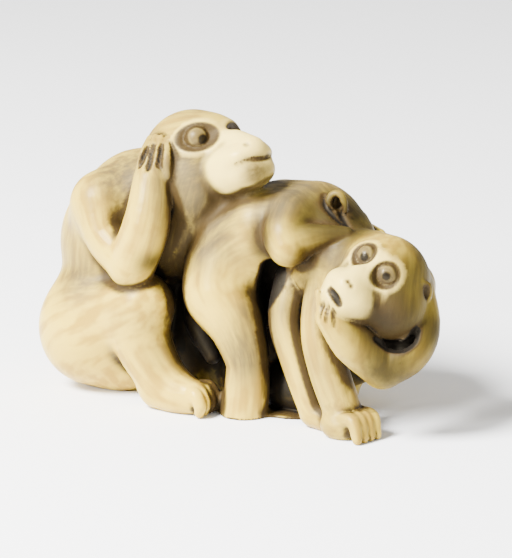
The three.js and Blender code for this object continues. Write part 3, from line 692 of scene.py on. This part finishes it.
def eye_marks(places, eye, look):
    """The lid's pale rim, the stained socket with painted shade in a deep one, the eyeball and its pupil.
    """
    middle, axes, radius, width, deep = eye
    q = (places - middle) @ axes
    near = smooth(2.6, 2.2, np.linalg.norm(q, axis=1) / radius) * (q[:, 0] > -0.5)
    round_eye = np.hypot(q[:, 1] / width, q[:, 2]) / radius
    eyeball = smooth(1.1, 1.03, np.linalg.norm(q, axis=1) / radius)
    pupil_at = radius * np.array(look) / np.linalg.norm(look)
    pupil = smooth(0.5 * radius, 0.3 * radius, np.linalg.norm(q - pupil_at, axis=1))
    rim = smooth(1.75, 1.5, round_eye) * near
    # the deeper an eye sits, the further the socket's brown reaches over the eyeball: stain, and painted
    # shade of the deep socket
    edge = smooth(0.72 - 0.5 * deep, 0.98 - 0.5 * deep, np.hypot(q[:, 1], q[:, 2]) / radius)
    socket = smooth(1.34, 1.12, round_eye) * near * np.maximum(1 - eyeball, edge)
    return np.stack([rim, socket, eyeball * (1 - edge), pupil], -1)


def gathered(ways):
    """The sum over ways of a value's rise between two bounds, times its weight."""
    return sum(weight * smooth(low, high, v) for v, low, high, weight in ways)


def patch(places, at, radius):
    """A soft round spot: 1 in its middle, a third at its radius."""
    return np.exp(-np.sum((places - at) ** 2, axis=1) / radius ** 2)


def give(mesh, name, values):
    """A value for each vertex: three or four numbers."""
    kind, field = ("FLOAT_COLOR", "color") if values.shape[1] == 4 else ("FLOAT_VECTOR", "vector")
    layer = mesh.attributes.new(name, kind, "POINT")
    layer.data.foreach_set(field, values.astype(np.float32).ravel())


# ---- the carved piece ----
clay, faces_found = carve()
piece = bpy.data.objects.new("three_monkeys_carved", mesh_of(*skin_of(clay)))
bpy.context.scene.collection.objects.link(piece)
lighten(piece, MOST_TRIANGLES)
mesh = piece.data
spots = np.empty(len(mesh.vertices) * 3, np.float32)
mesh.vertices.foreach_get("co", spots)
spots = spots.reshape(-1, 3) / MM + (*MIDDLE, 0)
outward = clay.outward(spots)
mesh.polygons.foreach_set("use_smooth", [True] * len(mesh.polygons))

open_sky = openness(clay, spots, outward)
crease, dell = (hollow(clay, spots, outward, reach) for reach in (0.5, 1.5))
lies, share = lie_of_hair(spots)
for n, lie in enumerate(lies):
    give(mesh, f"lie_{n}", lie)
give(mesh, "lie_share", np.column_stack([share, np.ones(len(spots))]))

# stain rubbed into the hair, grey and olive, which also stands for painted shade on sides and undersides
# turned from the light;
# painted black shadow and painted brown shade; and where stain and painted shade are lifted: place, reach,
# depth
GREY = (
    ((-2.5, -7, 27), 3.4, 0.85), ((-2.1, -7.3, 23.2), 4, 0.95), ((-1, -7, 19), 3.5, 0.7),
    ((-9.5, -5, 27.5), 3, 0.8), ((-12, -5, 24.5), 3.8, 0.75), ((-15.5, -7, 13), 3, 0.7),
    ((-9.4, -7, 20.5), 1.4, 0.5), ((-17, -6.5, 17), 4, 0.4), ((-5, -8.5, 6), 2.5, 0.4),
    ((1, -5.5, 23.5), 2.6, 0.9), ((8.5, -3.5, 25), 4.4, 0.95), ((3, -5.5, 19), 3, 0.35),
    ((7.9, -6.9, 23.4), 2.2, 0.95), ((5.3, -8.5, 7.5), 3.4, 0.8), ((6, -7, 12), 2.4, 0.6),
    ((12, -5.5, 15), 3, 0.7), ((9.2, -7, 12.5), 2.6, 0.5), ((14.8, -6.9, 19.4), 2.4, 0.7),
    ((16.5, -8, 19), 1.6, 0.8), ((16.5, -11, 16), 2, 0.3), ((15, -9, 7), 4, 0.3),
    ((17.5, -10, 2), 3.5, 0.35), ((-8, -9, 10), 3, 0.25), ((-5, -2, 32), 4, 0.3),
)
OLIVE = (
    ((13, -4, 23.2), 3, 0.9), ((16, -3.5, 21.5), 2.8, 1), ((14.9, -0.4, 23.2), 2.6, 0.8),
    ((23, -10.1, 14.6), 4.2, 1), ((24.7, -6.8, 18.2), 3, 0.5), ((22.8, -10.2, 14), 2.6, 1),
    ((24, -9, 12.4), 2, 0.8), ((25, -3, 19), 3.5, 0.7), ((14.6, -5.4, 21.8), 1.8, 0.8),
    ((23.4, -10.8, 8.8), 2.8, 0.9), ((24.5, -7, 6.5), 3, 0.9), ((26.5, -6, 12), 2.8, 0.8),
    ((7.6, -8.2, 20.6), 1.6, 1), ((7.4, -7.6, 18.4), 1.6, 0.9), ((12, -7.6, 19), 1.8, 0.7),
    ((-5.6, -10.1, 16.9), 1.4, 0.7), ((12.3, -6.7, 22.5), 1.9, 0.75),
)
# painted black shadow in the deep gaps between the monkeys, and painted shade on the third's cheek
SHADOW_SPOTS = (
    ((-2, -1, 7), 5, 1), ((9.5, -1.5, 6), 4.5, 1), ((8, -1.5, 13), 3.5, 1),
    ((17, 0, 6), 4.5, 0.9), ((8.6, -2.4, 2.6), 3, 1), ((23, -10.3, 13.8), 2.4, 0.5),
)
# painted brown shade under the first's chin, on the third's cheek and in the groove by the second's elbow
SHADE = (
    ((5.75, -6.5, 27.4), 1.7, 0.75), ((23, -10.2, 14), 2.3, 0.7), ((7.2, -7.6, 20.5), 1.3, 0.95),
    ((7.2, -7.2, 22), 1.2, 0.7), ((7.6, -7.6, 18.6), 1.2, 0.7),
)
# where stain and painted shade are lifted, on the second's back beside the first's chin
STAIN_AND_SHADE_LIFTED = (((7, -3.3, 24.9), 2.6, 0.8),)
SHADOW_SPOT_WEIGHT = 1.2
grey, olive, shadow_spots, shade, stain_and_shade_lifted = [
    1 - np.prod([1 - depth * patch(spots, at, reach) for at, reach, depth in patches], axis=0)
    for patches in (GREY, OLIVE, SHADOW_SPOTS, SHADE, STAIN_AND_SHADE_LIFTED)
]
ink_and_shade = clay.read(spots, clay.ink_and_shade)
# brown is stain in the hollows and also painted shade where little sky reaches; black is painted shade in
# the deep gaps and stain in the cut lines
brown_ways = ((crease, 0.1, 0.5, 1), (dell, 0.1, 0.55, 0.8), (open_sky, 0.82, 0.4, 0.9), (ink_and_shade, 0.1, 0.5, 1))
dark_ways = ((open_sky, 0.3, 0.08, 1), (crease, 0.5, 0.85, 0.6), (ink_and_shade, 0.5, 0.95, 1))
brown_stain_and_shade = np.clip(gathered(brown_ways) + shade, 0, 1) * (1 - stain_and_shade_lifted)
dark = np.clip(gathered(dark_ways) + SHADOW_SPOT_WEIGHT * shadow_spots, 0, 1) * (1 - stain_and_shade_lifted)
give(mesh, "brown_stain_and_shade", np.column_stack([brown_stain_and_shade, grey, olive, dark]))

# where each eye looks, and the middle and radii of each bare face, in the head's own frame
LOOKS = (((1, 0.5, -0.35), (1, 0.5, -0.35)), ((1, 0.45, 0), (1, 0.1, 0.05)))
LID_BARENESS = 0.5
BARE = (((8.5, 0, -0.8), (4.4, 4.5, 4.1)), ((6.8, 0, 0.3), (4.6, 3.6, 5.2)))
marks = np.zeros((len(spots), 4))
bare = np.zeros(len(spots))
for (own, found), looks, (middle, radii) in zip(faces_found, LOOKS, BARE):
    bare = np.maximum(bare, bare_skin(spots, own, middle, radii))
    for eye, look in zip(found, looks):
        marks = np.maximum(marks, eye_marks(spots, eye, look))
bare = np.maximum(bare, LID_BARENESS * marks[:, 0])
give(mesh, "face", np.column_stack([bare, marks[:, 1:]]))

# ---- the ivory ----
PALE = (0.55, 0.385, 0.042, 1)
WARM = (0.38, 0.24, 0.022, 1)
CREAM = (0.68, 0.52, 0.14, 1)
GREY_FUR_AND_SHADE = (0.075, 0.055, 0.024, 1)
OLIVE_BROWN = (0.028, 0.019, 0.003, 1)
SEPIA = (0.030, 0.017, 0.004, 1)
EYEBALL = (0.062, 0.041, 0.017, 1)
BLACK = (0.003, 0.002, 0.0015, 1)
POLISHED = 0.29
ROUGHER_BY_STAIN_AND_SHADE = 0.35

ivory = bpy.data.materials.new("ivory")
ivory.use_nodes = True
tree = ivory.node_tree
shader = tree.nodes["Principled BSDF"]


def put(value, socket):
    """Link an output to a socket, or set the socket's value."""
    if isinstance(value, bpy.types.NodeSocket):
        tree.links.new(value, socket)
    else:
        socket.default_value = value


def maths(operation, a, b=0.0, clamp=False):
    node = tree.nodes.new("ShaderNodeMath")
    node.operation = operation
    node.use_clamp = clamp
    put(a, node.inputs[0])
    put(b, node.inputs[1])
    return node.outputs[0]


def mixed(factor, a, b):
    """Colour a, turned into b by the factor."""
    node = tree.nodes.new("ShaderNodeMix")
    node.data_type = "RGBA"
    put(factor, node.inputs[0])
    put(a, node.inputs[6])
    put(b, node.inputs[7])
    return node.outputs[2]


def ramp(value, low, high):
    """A smooth rise from 0 to 1 between two values."""
    node = tree.nodes.new("ShaderNodeMapRange")
    node.interpolation_type = "SMOOTHSTEP"
    put(value, node.inputs["Value"])
    put(low, node.inputs["From Min"])
    put(high, node.inputs["From Max"])
    return node.outputs[0]


def given(name):
    """One of the values that the mesh holds for each vertex."""
    node = tree.nodes.new("ShaderNodeAttribute")
    node.attribute_name = name
    return node


def noise(vector, scale, detail, stretched=(1, 1, 1)):
    mapping = tree.nodes.new("ShaderNodeMapping")
    put(vector, mapping.inputs["Vector"])
    mapping.inputs["Scale"].default_value = stretched
    node = tree.nodes.new("ShaderNodeTexNoise")
    put(mapping.outputs[0], node.inputs["Vector"])
    node.inputs["Scale"].default_value = scale
    node.inputs["Detail"].default_value = detail
    return node.outputs[0]


def split(colour):
    node = tree.nodes.new("ShaderNodeSeparateColor")
    put(colour, node.inputs[0])
    return node.outputs


stain_and_shade_given = given("brown_stain_and_shade")
brown_by_crease, grey_by_hair, olive_by_hair = split(stain_and_shade_given.outputs["Color"])
black_by_depth = stain_and_shade_given.outputs["Alpha"]
shares = split(given("lie_share").outputs["Color"])
hair = 0.0
long_hair = 0.0
for n in range(3):
    lie = given(f"lie_{n}").outputs["Vector"]
    fine = noise(lie, 1.0, 2, (0.22, 2.6, 2.6))
    broad = noise(lie, 1.0, 1, (0.12, 0.9, 0.9))
    hair = maths("ADD", maths("MULTIPLY", fine, shares[n]), hair)
    long_hair = maths("ADD", maths("MULTIPLY", broad, shares[n]), long_hair)
position = tree.nodes.new("ShaderNodeTexCoord").outputs["Object"]
mottle = noise(position, 260, 3)
speck = noise(position, 2200, 3)

faces_given = given("face")
bare_by_face, socket_by_face, eyeball_by_face = split(faces_given.outputs["Color"])
pupil_by_face = faces_given.outputs["Alpha"]


def about(value, strength):
    """A noise value's swing about its middle."""
    return maths("MULTIPLY", maths("SUBTRACT", value, 0.5), strength)


def soaked(depth):
    """Stain and painted shade show quickly: half a depth already shows as three quarters."""
    left = maths("SUBTRACT", 1.0, depth, clamp=True)
    return maths("SUBTRACT", 1.0, maths("MULTIPLY", left, left))


def uneven(depth, middle, swing):
    """A depth of stain and painted shade, varied by a swing about a middle."""
    return maths("MULTIPLY", depth, maths("ADD", middle, swing), clamp=True)


# pale ivory, then grey and olive in the hair (fur tone, and painted shade on sides turned from the light),
# cream on bare skin, and brown and black (stain, and painted shade in hollows and gaps) and the eyes over
# all
streak = maths("ADD", about(hair, 0.9), about(long_hair, 0.8))
haired = maths("SUBTRACT", 1.0, bare_by_face)
tint = mixed(ramp(maths("ADD", mottle, about(long_hair, 1.3)), 0.35, 0.75), PALE, WARM)
greyed = uneven(maths("MULTIPLY", grey_by_hair, haired), 0.85, streak)
tint = mixed(soaked(greyed), tint, GREY_FUR_AND_SHADE)
olived = uneven(maths("MULTIPLY", olive_by_hair, haired), 1.0, maths("MULTIPLY", streak, 0.4))
tint = mixed(soaked(olived), tint, OLIVE_BROWN)
tint = mixed(maths("MULTIPLY", bare_by_face, 0.8), tint, CREAM)
# brown: stain in hollows, and painted shade where little sky reaches
browned = uneven(maths("MAXIMUM", brown_by_crease, socket_by_face), 0.95, about(hair, 0.7))
tint = mixed(soaked(browned), tint, SEPIA)
# black: painted shade in deep gaps, and stain in cut lines
tint = mixed(ramp(black_by_depth, 0.15, 0.9), tint, BLACK)
tint = mixed(maths("MULTIPLY", eyeball_by_face, 0.9), tint, EYEBALL)
tint = mixed(soaked(maths("MULTIPLY", pupil_by_face, 0.85)), tint, BLACK)
put(tint, shader.inputs["Base Color"])

bump = tree.nodes.new("ShaderNodeBump")
put(0.35, bump.inputs["Strength"])
put(0.1 * MM, bump.inputs["Distance"])
put(maths("ADD", hair, maths("MULTIPLY", speck, 0.25)), bump.inputs["Height"])
put(bump.outputs[0], shader.inputs["Normal"])
stain_and_shade_depth = maths("MAXIMUM", maths("MAXIMUM", browned, greyed), maths("MAXIMUM", olived, black_by_depth))
put(maths("ADD", POLISHED, maths("MULTIPLY", stain_and_shade_depth, ROUGHER_BY_STAIN_AND_SHADE)), shader.inputs["Roughness"])
for name, value in (("Specular IOR Level", 0.2), ("Specular Tint", (1, 0.88, 0.62, 1)),
                    ("Subsurface Weight", 0.15), ("Subsurface Radius", (1.0, 0.7, 0.4)),
                    ("Subsurface Scale", 0.8 * MM)):
    put(value, shader.inputs[name])
mesh.materials.append(ivory)

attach(piece, "root")
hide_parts("three_monkeys")

# ---- floor, light and camera: places and sizes in millimetres, power in watts ----
FLOOR_REACH = 2000
LAMPS = (
    ("key", (-150, -260, 330), 180, 14.0),
    ("glint", (-150, -400, 185), 70, 2.6),
    ("fill", (330, -200, 160), 300, 0.5),
)
LIT_PLACE = (0, 0, 12)
VIEW_FROM = (178.1, -337.6, 110.3)
VIEW_TO = (0.8, 0, 14.2)

floor_mesh = bpy.data.meshes.new("floor")
reach = FLOOR_REACH * MM
corners = [(-reach, -reach, 0), (reach, -reach, 0), (reach, reach, 0), (-reach, reach, 0)]
floor_mesh.from_pydata(corners, [], [(0, 1, 2, 3)])
floor = bpy.data.objects.new("floor", floor_mesh)
bpy.context.scene.collection.objects.link(floor)
white = bpy.data.materials.new("white_floor")
white.use_nodes = True
plain = white.node_tree.nodes["Principled BSDF"].inputs
plain["Base Color"].default_value = (0.9, 0.9, 0.9, 1)
plain["Roughness"].default_value = 0.8
floor_mesh.materials.append(white)

world = bpy.data.worlds.new("studio")
world.use_nodes = True
backdrop = world.node_tree.nodes["Background"].inputs
backdrop["Color"].default_value = (1, 1, 1, 1)
backdrop["Strength"].default_value = 0.75
bpy.context.scene.world = world


def aimed(thing, at, target):
    """Place a lamp or camera in millimetres and point it at a place."""
    holder = bpy.data.objects.new(thing.name, thing)
    bpy.context.scene.collection.objects.link(holder)
    holder.location = Vector(at) * MM
    holder.rotation_euler = (Vector(target) - Vector(at)).to_track_quat("-Z", "Y").to_euler()
    return holder


for name, at, size, power in LAMPS:
    light = bpy.data.lights.new(name, "AREA")
    light.shape = "DISK"
    light.size = size * MM
    light.energy = power
    aimed(light, at, LIT_PLACE)

view = bpy.data.cameras.new("view")
view.lens = 230
view.sensor_width = 36
view.clip_start = 0.01
bpy.context.scene.camera = aimed(view, VIEW_FROM, VIEW_TO)
